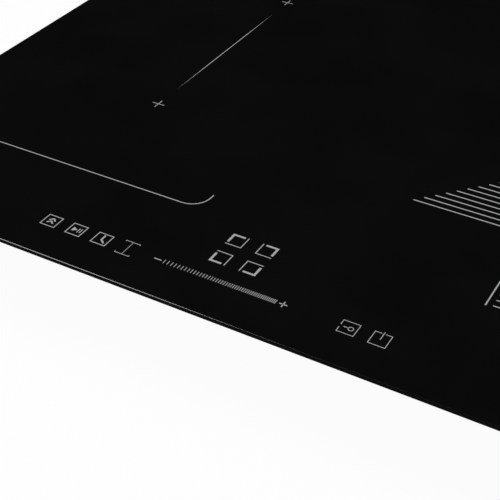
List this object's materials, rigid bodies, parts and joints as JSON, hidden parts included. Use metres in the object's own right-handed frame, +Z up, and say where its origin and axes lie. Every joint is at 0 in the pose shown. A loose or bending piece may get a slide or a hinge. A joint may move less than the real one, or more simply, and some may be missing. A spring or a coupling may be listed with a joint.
{
  "type": "induction cooktop",
  "caption": "Built-in electric induction cooktop: flat black glass plate with printed touch controls over a stepped steel case with coils, blowers and swing-out worktop clamps.",
  "frame": {"origin": "under the middle of the glass plate, on the plane of the tray's flat bottom", "axes": "+X to the user's right along the front edge, +Y away from the user, +Z up out of the cooking surface"},
  "size_m": [0.59, 0.52, 0.054],
  "materials": {
    "black_glass": "polished black glass-ceramic, opaque",
    "seal_foam": "fine closed-cell foam",
    "silicone": "matte silicone",
    "zinc_steel": "galvanised sheet, fine spangle",
    "screw_steel": "zinc-plated",
    "sheet_aluminium": "mill finish",
    "carrier_plastic": "glass-filled, satin",
    "copper": "enamelled litz wire",
    "ferrite": "dull dark grey",
    "mica": "pressed mica, pale gold",
    "sensor_rubber": "white silicone rubber",
    "pillar_plastic": "natural nylon",
    "circuit_board": "green solder resist",
    "component_black": "moulded epoxy",
    "component_grey": "moulded case",
    "blower_plastic": "glass-filled, satin",
    "display_plastic": "milky light guide",
    "terminal_plastic": "white polyamide",
    "brass": "turned",
    "grommet_rubber": "soft black rubber"
  },
  "bodies": {
    "case": {"glass_top": "black_glass", "rim_seal": "seal_foam", "glass_bond": "silicone", "rim_frame": "zinc_steel", "base_tray": "zinc_steel", "case_screws": "screw_steel", "support_pillars": "pillar_plastic", "board_supports": "pillar_plastic", "filter_board": "circuit_board", "filter_parts": "component_grey", "terminal_box": "carrier_plastic", "terminal_block": "terminal_plastic", "cable_grommet": "grommet_rubber", "control_tray": "carrier_plastic", "control_board": "circuit_board", "touch_pads": "sensor_rubber", "zone_displays": "display_plastic", "slider_light_bar": "display_plastic", "clamp_screws": "screw_steel", "coil_plate_left": "sheet_aluminium", "mica_sheet_left": "mica", "power_board_left": "circuit_board", "heat_sink_left": "sheet_aluminium", "power_switches_left": "component_black", "power_capacitors_left": "component_grey", "fan_housing_left": "blower_plastic", "coil_plate_right": "sheet_aluminium", "mica_sheet_right": "mica", "power_board_right": "circuit_board", "heat_sink_right": "sheet_aluminium", "power_switches_right": "component_black", "power_capacitors_right": "component_grey", "fan_housing_right": "blower_plastic", "coil_carrier_front_left": "carrier_plastic", "coil_winding_front_left": "copper", "ferrite_bars_front_left": "ferrite", "zone_sensor_front_left": "sensor_rubber", "coil_carrier_rear_left": "carrier_plastic", "coil_winding_rear_left": "copper", "ferrite_bars_rear_left": "ferrite", "zone_sensor_rear_left": "sensor_rubber", "coil_carrier_front_right": "carrier_plastic", "coil_winding_front_right": "copper", "ferrite_bars_front_right": "ferrite", "zone_sensor_front_right": "sensor_rubber", "coil_carrier_rear_right": "carrier_plastic", "coil_winding_rear_right": "copper", "ferrite_bars_rear_right": "ferrite", "zone_sensor_rear_right": "sensor_rubber"},
    "fan_rotor_left": {"fan_rotor_left": "blower_plastic"},
    "fan_rotor_right": {"fan_rotor_right": "blower_plastic"},
    "clamp_bush_front_left": {"clamp_bush_front_left": "brass"},
    "clamp_hook_front_left": {"clamp_hook_front_left": "zinc_steel"},
    "clamp_bush_rear_left": {"clamp_bush_rear_left": "brass"},
    "clamp_hook_rear_left": {"clamp_hook_rear_left": "zinc_steel"},
    "clamp_bush_front_right": {"clamp_bush_front_right": "brass"},
    "clamp_hook_front_right": {"clamp_hook_front_right": "zinc_steel"},
    "clamp_bush_rear_right": {"clamp_bush_rear_right": "brass"},
    "clamp_hook_rear_right": {"clamp_hook_rear_right": "zinc_steel"},
    "terminal_cover": {"terminal_cover": "carrier_plastic"}
  },
  "joints": [
    {"name": "fan_left_spin", "type": "hinge", "parent": "case", "child": "fan_rotor_left", "pos_m": [-0.11, 0.07, 0.015], "axis": [0, 0, 1], "continuous": true},
    {"name": "fan_right_spin", "type": "hinge", "parent": "case", "child": "fan_rotor_right", "pos_m": [0.11, 0.07, 0.015], "axis": [0, 0, 1], "continuous": true},
    {"name": "clamp_front_left_lift", "type": "slide", "parent": "case", "child": "clamp_bush_front_left", "axis": [0, 0, 1], "range_m": [0, 0.017]},
    {"name": "clamp_front_left_swing", "type": "hinge", "parent": "clamp_bush_front_left", "child": "clamp_hook_front_left", "pos_m": [-0.2617, -0.123, 0.007], "axis": [0, 0, -1], "range_deg": [0, 90]},
    {"name": "clamp_rear_left_lift", "type": "slide", "parent": "case", "child": "clamp_bush_rear_left", "axis": [0, 0, 1], "range_m": [0, 0.017]},
    {"name": "clamp_rear_left_swing", "type": "hinge", "parent": "clamp_bush_rear_left", "child": "clamp_hook_rear_left", "pos_m": [-0.2617, 0.194, 0.007], "axis": [0, 0, -1], "range_deg": [0, 90]},
    {"name": "clamp_front_right_lift", "type": "slide", "parent": "case", "child": "clamp_bush_front_right", "axis": [0, 0, 1], "range_m": [0, 0.017]},
    {"name": "clamp_front_right_swing", "type": "hinge", "parent": "clamp_bush_front_right", "child": "clamp_hook_front_right", "pos_m": [0.2617, -0.123, 0.007], "axis": [0, 0, 1], "range_deg": [0, 90]},
    {"name": "clamp_rear_right_lift", "type": "slide", "parent": "case", "child": "clamp_bush_rear_right", "axis": [0, 0, 1], "range_m": [0, 0.017]},
    {"name": "clamp_rear_right_swing", "type": "hinge", "parent": "clamp_bush_rear_right", "child": "clamp_hook_rear_right", "pos_m": [0.2617, 0.194, 0.007], "axis": [0, 0, 1], "range_deg": [0, 90]},
    {"name": "terminal_cover_hinge", "type": "hinge", "parent": "case", "child": "terminal_cover", "pos_m": [0.1313, 0.2415, 0.012], "axis": [-1, 0, 0], "range_deg": [0, 100]}
  ]
}
